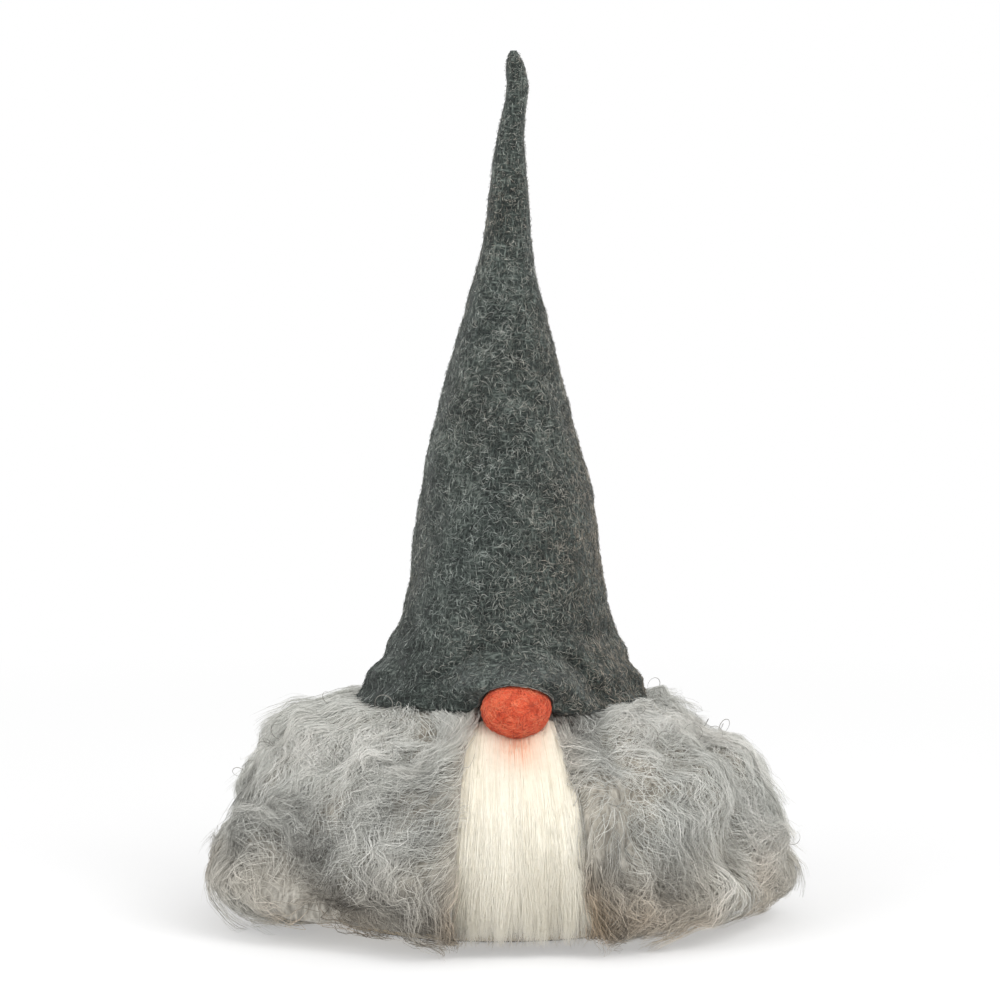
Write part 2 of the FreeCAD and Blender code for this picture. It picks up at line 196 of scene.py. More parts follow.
class Shader:
    """A material whose nodes are added one at a time."""

    def __init__(self, name, roughness, sheen=0.0):
        self.material = bpy.data.materials.new(name)
        self.material.use_nodes = True
        self.tree = self.material.node_tree
        self.surface = self.tree.nodes["Principled BSDF"]
        self.surface.inputs["Roughness"].default_value = roughness
        self.surface.inputs["Specular IOR Level"].default_value = 0.25
        self.surface.inputs["Sheen Weight"].default_value = sheen
        self.place = self.add("ShaderNodeTexCoord").outputs["Object"]

    def add(self, kind, inputs=None, **settings):
        node = self.tree.nodes.new(kind)
        for key, value in settings.items():
            setattr(node, key, value)
        for key, value in (inputs or {}).items():
            if hasattr(value, "is_output"):
                self.tree.links.new(value, node.inputs[key])
            else:
                node.inputs[key].default_value = value
        return node

    def noise(self, size_mm, detail=3.0, stretch=None):
        """Noise with features of about size_mm, optionally stretched along the axes, from 0 to 1."""
        place = self.place
        if stretch:
            place = self.add("ShaderNodeMapping", {"Vector": place, "Scale": stretch}).outputs["Vector"]
        inputs = {"Vector": place, "Scale": 1 / (size_mm * MM), "Detail": detail}
        return self.add("ShaderNodeTexNoise", inputs).outputs["Fac"]

    def attribute(self, name):
        return self.add("ShaderNodeAttribute", attribute_name=name).outputs["Fac"]

    def math(self, operation, a, b):
        return self.add("ShaderNodeMath", {0: a, 1: b}, operation=operation).outputs[0]

    def ramp(self, factor, stops):
        node = self.add("ShaderNodeValToRGB", {"Fac": factor})
        elements = node.color_ramp.elements
        while len(elements) < len(stops):
            elements.new(0.5)
        for element, (position, colour) in zip(elements, stops):
            element.position = position
            element.color = colour
        return node.outputs["Color"]

    def mix(self, factor, a, b, blend="MIX"):
        inputs = {0: factor, 6: a, 7: b}  # 6 and 7 are the sockets for colours
        return self.add("ShaderNodeMix", inputs, data_type="RGBA", blend_type=blend).outputs[2]

    def finish(self, colour, bump_height=None, bump_mm=0.2):
        self.tree.links.new(colour, self.surface.inputs["Base Color"])
        if bump_height is not None:
            inputs = {"Height": bump_height, "Strength": 0.8, "Distance": bump_mm * MM}
            bump = self.add("ShaderNodeBump", inputs)
            self.tree.links.new(bump.outputs["Normal"], self.surface.inputs["Normal"])
        return self.material


def hair_material(name, stops, warm_colour, roughness=0.62):
    """Hair whose lightness comes from the tone of each hair and whose tint comes from its warmth."""
    s = Shader(name, roughness, sheen=0.15)
    grain = s.math("MULTIPLY", s.math("SUBTRACT", s.noise(2.2), 0.5), 0.35)
    colour = s.ramp(s.math("ADD", s.attribute("tone"), grain), stops)
    tinted = s.mix(1.0, colour, warm_colour, "MULTIPLY")
    return s.finish(s.mix(s.attribute("warm"), colour, tinted))


def felt_material(name, stops, tint, grain_mm=1.6, bump_mm=0.35):
    """Matted wool: blotches, a fine grain of crossing fibres, and a soft bump."""
    s = Shader(name, 0.9, sheen=0.25)
    blotch = s.noise(14.0, 4.0)
    fibre_a = s.noise(grain_mm, 3.0, (0.3, 0.8, 1.7))
    fibre_b = s.noise(grain_mm, 3.0, (1.7, 1.7, 0.3))
    fibres = s.math("MAXIMUM", fibre_a, fibre_b)
    mixed = s.math("ADD", s.math("MULTIPLY", blotch, 0.25), s.math("MULTIPLY", fibres, 0.75))
    colour = s.mix(s.noise(30.0), s.ramp(mixed, stops), s.mix(1.0, s.ramp(mixed, stops), tint, "MULTIPLY"))
    return s.finish(colour, fibres, bump_mm)


GREY_STOPS = [
    (0.0, srgb(92, 91, 86)),
    (0.35, srgb(186, 187, 182)),
    (0.65, srgb(225, 227, 222)),
    (1.0, srgb(250, 249, 245)),
]
CREAM_STOPS = [(0.0, srgb(212, 204, 182)), (0.5, srgb(246, 239, 222)), (1.0, srgb(255, 251, 238))]
HAT_STOPS = [(0.44, srgb(18, 23, 22)), (0.56, srgb(54, 63, 60)), (0.68, srgb(116, 126, 121))]
HAT_FIBRE_STOPS = [(0.0, srgb(40, 47, 44)), (0.5, srgb(110, 119, 114)), (1.0, srgb(206, 213, 207))]
NOSE_STOPS = [(0.42, srgb(140, 42, 22)), (0.54, srgb(214, 90, 58)), (0.66, srgb(240, 130, 96))]
NOSE_FIBRE_STOPS = [(0.0, srgb(146, 44, 24)), (0.5, srgb(238, 104, 68)), (1.0, srgb(250, 170, 128))]
SOLE_STOPS = [(0.2, srgb(50, 48, 45)), (0.8, srgb(104, 101, 95))]

fleece_hair = hair_material("fleece_hair", GREY_STOPS, srgb(235, 208, 180))
beard_hair = hair_material("beard_hair", CREAM_STOPS, srgb(250, 178, 148), 0.5)
hat_fibre = hair_material("hat_fibre", HAT_FIBRE_STOPS, srgb(246, 224, 212), 0.8)
nose_fibre = hair_material("nose_fibre", NOSE_FIBRE_STOPS, srgb(250, 200, 170), 0.8)
hat_felt = felt_material("hat_felt", HAT_STOPS, srgb(240, 232, 226), 1.2)
nose_felt = felt_material("nose_felt", NOSE_STOPS, srgb(255, 225, 200), 1.1, 0.2)
sole_felt = felt_material("sole_felt", SOLE_STOPS, srgb(240, 232, 220))


def under_wool_material():
    """The matted wool under the long hairs: darker in its hollows, as painted shade, and browner in broad
    patches.
    """
    s = Shader("under_wool", 0.85, sheen=0.2)
    strands = s.noise(2.4, 5.0, (1.4, 1.4, 0.45))
    stops = [(0.3, srgb(122, 120, 114)), (0.55, srgb(172, 170, 163)), (0.8, srgb(212, 210, 204))]
    # The same noise sets its colour and its bump, so it is darker where the bump sinks: painted shade in its
    # hollows.
    colour = s.ramp(strands, stops)
    brown = s.mix(1.0, colour, srgb(243, 234, 222), "MULTIPLY")
    return s.finish(s.mix(s.noise(26.0), colour, brown), strands, 0.8)


def cream_wool_material():
    s = Shader("cream_wool", 0.7, sheen=0.2)
    strands = s.noise(1.6, 4.0, (2.2, 1.0, 0.12))
    stops = [(0.2, srgb(232, 224, 204)), (0.6, srgb(250, 244, 228)), (0.9, srgb(254, 251, 243))]
    return s.finish(s.ramp(strands, stops), strands, 0.5)


def cloth_material(name, light, dark, thread_mm):
    """A plain weave: crossing threads with a little dirt."""
    s = Shader(name, 0.85)
    thread = {"Scale": 1 / (thread_mm * MM) / 20, "Distortion": 1.5}
    warp = s.add("ShaderNodeTexWave", {"Vector": s.place, **thread})
    across = s.add("ShaderNodeMapping", {"Vector": s.place, "Rotation": (0.0, math.pi / 2, 0.6)})
    weft = s.add("ShaderNodeTexWave", {"Vector": across.outputs["Vector"], **thread})
    weave = s.math("MULTIPLY", s.math("ADD", warp.outputs["Fac"], weft.outputs["Fac"]), 0.5)
    colour = s.mix(weave, dark, light)
    return s.finish(s.mix(s.noise(9.0), colour, dark), weave, 0.2)


def grain_material(name, light, dark, size_mm, roughness, stretch=None, bump_mm=0.15):
    """Leather, hardboard, pellets, cord and the like: noise between two colours, with a bump."""
    s = Shader(name, roughness)
    grain = s.noise(size_mm, 6.0, stretch)
    return s.finish(s.ramp(grain, [(0.3, dark), (0.7, light)]), grain, bump_mm)


# ---- Coat: matted wool under long hairs --------------
# The wool's outline from under the hat, down the outside and in underneath, as radius towards -X, radius
# towards +X and height. The -X lobe is the plumper one at the top.
OUTLINE = np.array([
    (42.5, 42.5, 77.5),
    (45.5, 45.2, 76.8),
    (49, 48.2, 76.0),
    (54.5, 49.2, 75.6),
    (63, 51.5, 73.6),
    (70, 57, 70.4),
    (76.5, 63.5, 66.2),
    (83, 73.5, 60),
    (87, 83.2, 55),
    (91, 89, 48),
    (92, 90.5, 40),
    (93.5, 93, 32),
    (97.5, 95.6, 25),
    (101, 98, 19),
    (100, 98.5, 13.5),
    (96, 95.5, 9.2),
    (88, 88.5, 6.2),
    (79, 79.5, 4.4),
    (70, 70, 3.8),
    (61, 61, 4.6),
])
# Outside of the leather, as height and radius in X.
LEATHER = smooth_table([(0, 57), (12, 64), (26, 66), (42, 62), (55, 54), (66, 47), (76, 42), (86, 39.5)])
# The beard's half width and how far its front is from the Z axis, by height.
BEARD = smooth_table([
    (0, 23.0, 72),
    (8, 22.8, 76),
    (15, 22.4, 77),
    (30, 21.2, 75.5),
    (46, 19.6, 70),
    (57, 18.2, 62),
    (66, 16.2, 54.5),
    (76, 13.2, 46),
])
EDGE = 9.0  # radius of the rounded edge of each lobe, beside the beard
TUCK = 0.65 * EDGE  # how far that edge reaches in behind the beard
FACE_Y = -30  # the coat's front, where it lies beside the beard, is further forward than this
BIG_LUMP, SMALL_LUMP, HOLLOW_DEPTH = 3.0, 1.9, 9.0  # how far these move the wool's surface
SWIRL, CURL = 1.9, 0.55  # how far the broad and the small swirls turn the hair, in radians
WISP_HAIRS = 22  # hairs in one wisp
COAT_RADIUS = 80.0  # about its mean, to turn a sideways distance into an angle
# Places on the front where the wool parts: across, height, size, and how deep it dents and how dark its
# painted shade is.
HOLLOWS_WITH_PAINTED_SHADE = [(-60, 17, 10, 0.42), (-77, 46, 12, 0.10), (50, 21, 10, 0.18), (70, 28, 8, 0.18), (31, 52, 8, 0.10)]
NOSE_CENTRE = np.array([0.0, -47.0, 77.6])
NOSE_RADII = np.array([11.3, 9.8, 9.5])

mean_outline = np.stack([OUTLINE[:, :2].mean(1), OUTLINE[:, 2]], 1)
outline_steps = np.linalg.norm(np.diff(mean_outline, axis=0), axis=1)
outline_at = np.concatenate([[0], np.cumsum(outline_steps)])
OUTLINE_LENGTH = outline_at[-1]
coat_outline = smooth_table(np.column_stack([outline_at, OUTLINE]))

big_lumps = waves(11, 30.0)
small_lumps = waves(12, 12.0)
swirl = waves(13, 62.0, 10)
curl = waves(14, 24.0)
patches = waves(15, 34.0)
brown_patches = waves(16, 40.0)
crimp = waves(17, 40.0)
phases = waves(18, 36.0)


def coat_base(u, phi):
    """The wool's plain outer surface: u is mm down the outline, phi the azimuth."""
    r_minus, r_plus, z = coat_outline(u)
    r = r_minus + (r_plus - r_minus) * (1 + np.cos(phi)) / 2
    return np.stack([r * np.cos(phi), DEPTH_RATIO * r * np.sin(phi), z], -1)


def hollow_and_painted_shade(p):
    """How deep the wool parts at a point; the same amount darkens its hairs there as painted shade."""
    dark = 0
    for across, height, size, depth in HOLLOWS_WITH_PAINTED_SHADE:
        far = ((p[..., 0] - across) ** 2 + (p[..., 2] - height) ** 2) / size**2
        dark = dark + depth * np.exp(-far) * (p[..., 1] < 0)
    return dark


def coat_point(u, phi, lift):
    """A point over or under the wool's lumpy outer surface."""
    down = coat_base(u + 0.5, phi) - coat_base(u - 0.5, phi)
    round_it = coat_base(u, phi + 0.005) - coat_base(u, phi - 0.005)
    normal = np.cross(down, round_it)
    normal /= np.linalg.norm(normal, axis=-1, keepdims=True) + 1e-9
    p = coat_base(u, phi)
    body = smoothstep(3, 18, u) * (1 - 0.8 * smoothstep(OUTLINE_LENGTH - 42, OUTLINE_LENGTH - 30, u))
    lump = (BIG_LUMP * big_lumps(p) + SMALL_LUMP * small_lumps(p)) * body - HOLLOW_DEPTH * hollow_and_painted_shade(p)
    return p + normal * (lift + lump)[..., None]


def beside_beard(p, centre, width):
    """A band on the coat's front: 1 at centre mm from the beard's side, and fading over width mm."""
    beside = np.abs(p[..., 0]) - BEARD(p[..., 2])[0]
    return np.exp(-(((beside - centre) / width) ** 2)) * (p[..., 1] < FACE_Y)


def keep_off_nose(points, room):
    """Moves points that are inside the nose out to its surface."""
    reach = NOSE_RADII + np.asarray(room)[..., None]
    away = (points - NOSE_CENTRE) / reach
    far = np.linalg.norm(away, axis=-1, keepdims=True)
    return np.where(far < 1, NOSE_CENTRE + away / (far + 1e-9) * reach, points)


def part_round_beard(points, side, lap):
    """Folds the front of one lobe into a rounded edge that ends at the side of the beard."""
    x, y, z = points[..., 0] * side, points[..., 1], points[..., 2]
    half, beard_front = BEARD(z)
    turn = np.clip((x - half + TUCK) / (0.5 * math.pi * EDGE), 0, 1) * math.pi / 2
    folded_x = half - lap + EDGE * (1 - np.cos(turn))
    folded_y = y + np.maximum(-y - beard_front + 2.0, 0) * (1 - np.sin(turn))
    front = smoothstep(-34, -46, y) * (turn < math.pi / 2)
    x = x + (folded_x - x) * front
    y = y + (folded_y - y) * front
    return np.stack([x * side, y, z], -1)


def under_wool(name, first, last):
    """One half of the matted wool, a closed shell round the leather, with a valley behind the beard."""
    columns, rows = 200, 110
    phi = np.linspace(first, last, columns)[:, None]
    u = np.linspace(0, OUTLINE_LENGTH, rows)[None, :]
    phi, u = np.broadcast_arrays(phi, u)
    # The lobe's outside, which lies a little under the long hairs.
    sunk = -2.3 * smoothstep(0, 12, u) * smoothstep(OUTLINE_LENGTH, OUTLINE_LENGTH - 12, u)
    outer = coat_point(u, phi, sunk)
    x, z = outer[..., 0], outer[..., 2]
    leather = LEATHER(z)[0]
    half = BEARD(z)[0]
    side = np.where(np.cos(phi).mean() > 0, 1.0, -1.0)
    behind = (np.abs(x) < half - TUCK) & (outer[..., 1] < -25)
    outer = part_round_beard(outer, side, -0.6)
    x = np.where(behind, x * (half + 0.6) / (half - TUCK), outer[..., 0])
    # Behind the beard the wool dips to a valley near the leather.
    valley = -DEPTH_RATIO * (np.sqrt(np.maximum(leather**2 - x**2, 0)) + 4.5)
    outer[..., 0] = x
    outer[..., 1] = np.where(behind, np.maximum(valley, outer[..., 1]), outer[..., 1])
    # Its inside, close to the leather.
    z_in = np.linspace(4.6, 71.5, 20)[None, :]
    r_in = LEATHER(z_in)[0] + 0.5
    phi_in = np.linspace(first, last, columns)[:, None]
    x_in, y_in = r_in * np.cos(phi_in), DEPTH_RATIO * r_in * np.sin(phi_in)
    inner = np.stack(np.broadcast_arrays(x_in, y_in, z_in), -1)
    rings = np.concatenate([outer, inner], axis=1)
    rings = keep_off_nose(rings, 0.5)
    rings[..., 2] = np.maximum(rings[..., 2], 0.4)
    return sweep(name, rings, closed=False)


def hair_path(u, phi, length, lean, wave, steps):
    """Follows the lie of the wool over the surface from a root. wave is (size, length, phase) of the crimp.

    Beside the beard and under the hat the hair is combed straighter.
    """
    step = length / (steps - 1)
    size, pitch, phase = wave
    us, phis = [u], [phi]
    for i in range(steps - 1):
        p = coat_base(u, phi)
        angle = SWIRL * swirl(p) + CURL * curl(p) + lean
        angle += size * np.sin(2 * math.pi * i * step / pitch + phase)
        angle *= 0.2 + 0.8 * smoothstep(2, 18, u)
        angle *= 1 - 0.45 * beside_beard(p, 0.0, 9.0)
        u = np.clip(u + step * np.cos(angle), 0, OUTLINE_LENGTH - 6)
        phi = phi + step * np.sin(angle) / np.hypot(p[:, 0], p[:, 1])
        us.append(u)
        phis.append(phi)
    return np.stack(us, 1), np.stack(phis, 1)


def coat_hairs(seed, count, steps, length, spread, hold, layer, loose):
    """Paths and looks of hairs in wisps: each hair starts near its wisp's root and drifts towards its middle.

    length, hold and layer are (low, high) ranges; loose is how far the tips may stand off the coat, in mm.
    """
    draw = np.random.default_rng(seed)
    wisps = max(1, count // WISP_HAIRS)
    wisp_u = draw.uniform(0, OUTLINE_LENGTH - 34, wisps)
    wisp_phi = draw.uniform(-math.pi, math.pi, wisps)
    wisp_place = coat_base(wisp_u, wisp_phi)
    wisp_wave = (
        np.clip(1.0 + 0.5 * crimp(wisp_place) + draw.normal(0, 0.15, wisps), 0.4, 1.5),
        draw.uniform(13, 17, wisps),
        4.0 * phases(wisp_place) + draw.normal(0, 0.25, wisps),
    )
    wisp_length = draw.uniform(*length, wisps)
    wisp_hold = draw.uniform(*hold, wisps)
    wisp_layer = draw.uniform(*layer, wisps)
    wisp_us, wisp_phis = hair_path(wisp_u, wisp_phi, wisp_length, 0.0, wisp_wave, steps)

    # Its hairs start round its root. They are sorted, so that a piece of them is one side of the coat.
    member = draw.integers(0, wisps, count)
    member = member[np.argsort(wisp_phi[member], kind="stable")]
    off_u, off_side = draw.normal(0, spread, count), draw.normal(0, spread, count)
    u0 = np.clip(wisp_u[member] + off_u, 0, OUTLINE_LENGTH - 24)
    phi0 = wisp_phi[member] + off_side / COAT_RADIUS
    wave = tuple(w[member] for w in wisp_wave)
    wave = (wave[0] * draw.uniform(0.75, 1.25, count), wave[1], wave[2] + draw.normal(0, 0.22, count))
    stretch = draw.uniform(0.75, 1.2, count)
    us, phis = hair_path(u0, phi0, wisp_length[member] * stretch, draw.normal(0, 0.12, count), wave, steps)

    # They drift to the wisp's middle and stand off the coat towards their tips.
    t = np.linspace(0, 1, steps)[None, :]
    pull = wisp_hold[member][:, None] * t**1.5
    us = us + (wisp_us[member] + 0.15 * off_u[:, None] - us) * pull
    phis = phis + (wisp_phis[member] + 0.15 * off_side[:, None] / COAT_RADIUS - phis) * pull
    lift = wisp_layer[member][:, None] + draw.normal(0, 0.5, (count, 1))
    rise = draw.uniform(0, 1, (count, 1)) ** 3 + draw.uniform(0, 1, wisps)[member][:, None] ** 3
    lift = lift - 2.6 * (1 - smoothstep(0, 0.16, t)) + 0.8 * loose * rise * t**2
    paths = coat_point(us, phis, lift)

    # None starts behind the beard, touches the nose or goes through the table.
    keep = (np.abs(paths[:, 0, 0]) > BEARD(paths[:, 0, 2])[0] - 0.6 * EDGE) | (paths[:, 0, 1] > 0)
    side = np.where(paths[:, :1, 0] < 0, -1.0, 1.0)
    lap = draw.uniform(-2.4, 2.6, wisps)[member][:, None] + draw.normal(0, 0.7, (count, 1))
    paths = part_round_beard(paths, side, lap)
    paths = keep_off_nose(paths, 0.4)
    paths[..., 2] = np.maximum(paths[..., 2], 0.5 + 0.5 * draw.uniform(0, 1, (count, 1)))

    # Each hair, each wisp and one hair in ten differ from the coat's tone, which carries painted light and
    # shade.
    tone = coat_tone_with_painted_light(paths) + 0.10 * t + draw.normal(0, 0.14, (count, 1))
    tone += draw.normal(0, 0.07, wisps)[member][:, None] + 0.15 * (draw.uniform(0, 1, (count, 1)) > 0.90)
    warm = coat_warmth(paths) + 0.06 * t
    return paths[keep], shade(tone)[keep], np.clip(warm, 0, 1)[keep]


def coat_tone_with_painted_light(p):
    """How light the wool is: lighter on the shoulders and darker near the table. Painted light makes it
    lighter towards
    +X, low on the +X side and high on the -X side; painted shade darkens the hollows and the strip along the
    beard's +X side."""
    x, z = p[..., 0], p[..., 2]
    # Painted light: the tone rises towards +X, low on the +X side and high on the -X side, where the lamps
    # fall.
    tone = 0.42 + 0.16 * patches(p) + 0.16 * smoothstep(30, 72, z) - 0.10 * smoothstep(24, 6, z) + 0.0006 * x
    tone += 0.14 * smoothstep(30, 60, x) * smoothstep(66, 50, z)
    tone += 0.12 * smoothstep(-20, -50, x) * smoothstep(46, 62, z)
    # Painted shade: darker in the hollows and in the strip along the beard's +X side.
    return tone - hollow_and_painted_shade(p) - 0.24 * beside_beard(p, 8.0, 8.0) * (x > 0)


def coat_warmth(p):
    """How brown the wool is: more near the table and beside the beard."""
    z = p[..., 2]
    warm = 0.04 + 0.55 * smoothstep(40, 4, z) * (0.7 + 0.6 * brown_patches(p))
    return warm + (0.15 + 0.25 * smoothstep(45, 15, z)) * beside_beard(p, 0.0, 6.0)


def dress(pieces, material):
    """Gives pieces that ride on the body their material and slot."""
    for piece in pieces:
        piece.data.materials.append(material)
        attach(piece, "body")


def coat():
    left = under_wool("under_wool_left", FRONT, -FRONT)
    right = under_wool("under_wool_right", -FRONT, -3 * FRONT)
    dress([left, right], under_wool_material())
    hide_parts("left_fleece")
    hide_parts("right_fleece")
    # Name, seed, hairs, steps, length, spread and hold of a wisp, layer, looseness of the tips, thickness.
    layers = [
        ("coat_deep_hair", 21, 5600, 8, (18, 28), 5.5, (0.0, 0.3), (-1.9, -0.7), 1.0, (0.10, 0.16)),
        ("coat_top_hair", 22, 21000, 11, (24, 42), 4.2, (0.35, 0.9), (-1.0, 0.7), 1.6, (0.055, 0.105)),
        ("coat_wisp_hair", 23, 5500, 12, (26, 46), 1.8, (0.6, 0.95), (0.1, 1.3), 6.0, (0.05, 0.095)),
    ]
    for name, seed, count, steps, length, spread, hold, layer, loose, thickness in layers:
        paths, tone, warm = coat_hairs(seed, count, steps, length, spread, hold, layer, loose)
        thick = np.random.default_rng(seed).uniform(*thickness, (len(paths), 1)) * taper(steps)
        dress(tubes(name, paths, thick, {"tone": tone, "warm": warm}), fleece_hair)


def stray_loops():
    """Single hairs that spring out of the coat's outline and curl back into it."""
    draw = np.random.default_rng(27)
    count, steps = 72, 22
    t = np.linspace(0, 1, steps)[None, :]
    u = draw.uniform(8, OUTLINE_LENGTH - 50, (count, 1))
    phi = draw.uniform(-math.pi, 0.15, (count, 1))
    root = coat_point(u, phi, -0.5 + 0 * u)[:, 0]
    out = coat_point(u, phi, 6.0 + 0 * u)[:, 0] - root
    out /= np.linalg.norm(out, axis=1, keepdims=True)
    along = np.cross(out, draw.normal(size=(count, 3)))
    along /= np.linalg.norm(along, axis=1, keepdims=True)
    radius = draw.uniform(1.4, 3.4, (count, 1))
    turn = t * draw.uniform(3.6, 6.6, (count, 1))
    height = radius * (1 - np.cos(turn))
    sideways = radius * np.sin(turn) + draw.uniform(-2, 4, (count, 1)) * t
    paths = root[:, None] + out[:, None] * height[..., None] + along[:, None] * sideways[..., None]
    clear = (np.abs(root[:, 0]) > BEARD(root[:, 2])[0] + 8) | (root[:, 1] > 0)
    paths = paths[clear]
    dark = np.full(paths.shape[:2], 0.2)
    thick = draw.uniform(0.09, 0.14, (len(paths), 1)) * taper(steps)
    pieces = tubes("coat_stray_hair", paths, thick, {"tone": dark, "warm": dark})
    dress(pieces, fleece_hair)


def clipped_wool():
    """Short wool on the leather behind the beard. It shows between the beard's tips."""
    draw = np.random.default_rng(31)
    count, steps = 2600, 9
    t = np.linspace(0, 1, steps)[None, :]
    z0 = draw.uniform(8, 66, (count, 1))
    x = draw.uniform(-1, 1, (count, 1)) * (BEARD(z0)[0] + 2)
    z_tip = np.maximum(z0 - draw.uniform(12, 24, (count, 1)), draw.uniform(0.8, 6.0, (count, 1)))
    z = z0 + (z_tip - z0) * t
    x = x + 1.2 * t * np.sin(z0 * 0.7 + 5 * t) + 0 * z
    leather = DEPTH_RATIO * np.sqrt(np.maximum(LEATHER(z)[0] ** 2 - x**2, 0))
    room = np.maximum(BEARD(z)[1] - 10.5 - leather, 2.0)
    y = -(leather + 1.0 + room * draw.uniform(0.45, 1.0, (count, 1)) * smoothstep(-0.1, 0.7, t))
    paths = keep_off_nose(np.stack([x, y, z], -1), 0.4)
    tone = shade(0.8 + draw.normal(0, 0.12, (count, 1)) + 0.1 * t)
    warm = np.full(z.shape, 0.25)
    thick = draw.uniform(0.12, 0.18, (count, 1)) * taper(steps)
    pieces = tubes("coat_clipped_hair", paths, thick, {"tone": tone, "warm": warm})
    dress(pieces, fleece_hair)


# ---- Beard -------------------------------------------
BEARD_TOP = 75.8  # height where the outermost hairs start
BEARD_DEPTH = 5.0  # how far the deepest hairs lie under the front
BEARD_HAIRS, TUFTS = 8000, 50
# The locks at the beard's tips: edges and middles, from -1 to 1 across it, and how much higher each ends.
LOCK_EDGES = np.array([-1.6, -0.84, -0.62, -0.44, -0.2, -0.04, 0.16, 0.38, 0.54, 0.78])
LOCK_MIDDLES = np.array([-0.95, -0.72, -0.54, -0.31, -0.13, 0.07, 0.26, 0.46, 0.68, 0.92])
LOCK_LIFTS = np.array([2.5, 0.5, 1.5, 0.0, 2.0, 0.5, 0.0, 2.5, 1.0, 3.0])


def beard_hairs(count, steps):
    """Straight hairs over the front of the beard, whose tips gather into tufts and locks of uneven length."""
    draw = np.random.default_rng(41)
    t = np.linspace(0, 1, steps)[None, :]
    across = draw.uniform(-1.04, 1.04, (count, 1))
    depth = BEARD_DEPTH * draw.uniform(0, 1, (count, 1)) ** 2
    z_root = BEARD_TOP - 3.0 * across**2 - draw.uniform(0, 9, (count, 1)) * (depth / BEARD_DEPTH)
    # Each tuft and each lock ends at its own height, and the deep hairs end lowest.
    lock = np.searchsorted(LOCK_EDGES, across + draw.normal(0, 0.02, (count, 1))) - 1
    tuft = np.round((across + 1) / 2 * TUFTS + draw.normal(0, 0.35, (count, 1))).astype(int).clip(0, TUFTS)
    tuft_drop = draw.uniform(0, 5.0, TUFTS + 1)[tuft]
    z_tip = 3.4 + 1.3 * tuft_drop + draw.gamma(1.3, 4.2, (count, 1)) + 1.4 * LOCK_LIFTS[lock]
    z_tip = 1.2 + (z_tip - 1.2) * (1 - 0.7 * depth / BEARD_DEPTH)
    z = z_root + (z_tip - z_root) * t
    # Low down the hairs gather to their tuft, and their tips to the middle of their lock.
    gather = draw.uniform(0.3, 0.95, TUFTS + 1)[tuft] * smoothstep(0.6, 1.0, t)
    gather = gather * draw.uniform(0.4, 1, (count, 1))
    shift = draw.normal(0, 0.02, TUFTS + 1)[tuft]
    across = across + (tuft / TUFTS * 2 - 1 + shift - across) * gather
    across = across + 0.7 * (LOCK_MIDDLES[lock] - across) * smoothstep(0.7, 1.0, t) ** 1.3
    # They wave a little, more towards their tips, and lie further back at the beard's sides.
    half, front = BEARD(z)
    x = across * half * 0.985
    x += 0.4 * np.sin(z / 9.0 + 6 * across + draw.normal(0, 0.5, (count, 1))) * smoothstep(0.1, 0.6, t)
    x += draw.normal(0, 1.2, (count, 1)) * smoothstep(0.45, 1.0, t) ** 1.5
    curl_size = 0.55 * smoothstep(0.55, 0.9, t) * draw.uniform(0, 1, (count, 1))
    x += curl_size * np.sin(z / 2.1 + draw.uniform(0, 6, (count, 1)))
    round_edge = 2.6 * np.abs(across) ** 4.0
    y = -(front - 0.4 - depth * (1 - 0.3 * gather) - round_edge + 0.4 * np.sin(z / 13.0 + 4 * across))
    y -= 1.4 * draw.uniform(0, 1, (count, 1)) ** 4 * t**2
    paths = keep_off_nose(np.stack([x, y, z], -1), 0.3)
    uneven = draw.normal(0, 0.18, (count, 1)) * (0.15 + 0.85 * smoothstep(0.4, 1.0, t))
    tone = shade(0.44 + uneven + 0.52 * smoothstep(0.2, 0.7, t)) + 0 * z
    near_nose = np.exp(-((x / 7.5) ** 2)) * smoothstep(56, 66, z)
    warm = np.clip(near_nose * draw.uniform(0.2, 1.0, (count, 1)), 0, 1)
    return paths, tone, warm


def beard_base():
    """The dense middle of the lock, which the outer hairs lie over."""
    z = np.linspace(68.5, 19, 64)[:, None]
    angle = np.linspace(0, 2 * math.pi, 72, endpoint=False)[None, :]
    half, front = BEARD(z)
    ends = np.sqrt(np.clip((z - 18.5) / 12.0, 0.02, 1)) * np.sqrt(np.clip((69.0 - z) / 4.0, 0.1, 1))
    x = (half - 1.2) * np.cos(angle) * ends
    y = -(front - 3.3 - 2.4 * np.abs(np.cos(angle)) ** 4) + 2.4 * np.sin(angle) * ends
    rings = keep_off_nose(np.stack(np.broadcast_arrays(x, y, z), -1), 0.3)
    return sweep("beard_base", rings, closed=False)


def beard():
    steps = 12
    paths, tone, warm = beard_hairs(BEARD_HAIRS, steps)
    draw = np.random.default_rng(42)
    thick = draw.uniform(0.06, 0.11, (BEARD_HAIRS, 1)) * taper(steps, 0.8, 0.2)
    pieces = tubes("beard_hair", paths, thick, {"tone": tone, "warm": warm})
    base = beard_base()
    base.data.materials.append(cream_wool_material())
    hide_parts("beard_crown", "beard_fall")
    for piece in pieces:
        piece.data.materials.append(beard_hair)
    for piece in [base] + pieces:
        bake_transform(piece)


# ---- Felt: fibres that lie on a surface --------------
def felt_fibres(start, across, along, length, draw, steps, lift, surface):
    """Short, bent fibres in random directions. surface(a, b, lift) gives points; across and along turn mm
    into steps of its two coordinates."""
    count = len(start[0])
    direction = draw.uniform(0, 2 * math.pi, count)
    bend = draw.normal(0, 0.35, count)
    a, b = start
    step = length / (steps - 1)
    path_a, path_b = [a], [b]
    for _ in range(steps - 1):
        a = a + along(a) * step * np.cos(direction)
        b = b + across(a) * step * np.sin(direction)
        direction = direction + bend
        path_a.append(a)
        path_b.append(b)
    return surface(np.stack(path_a, 1), np.stack(path_b, 1), lift)


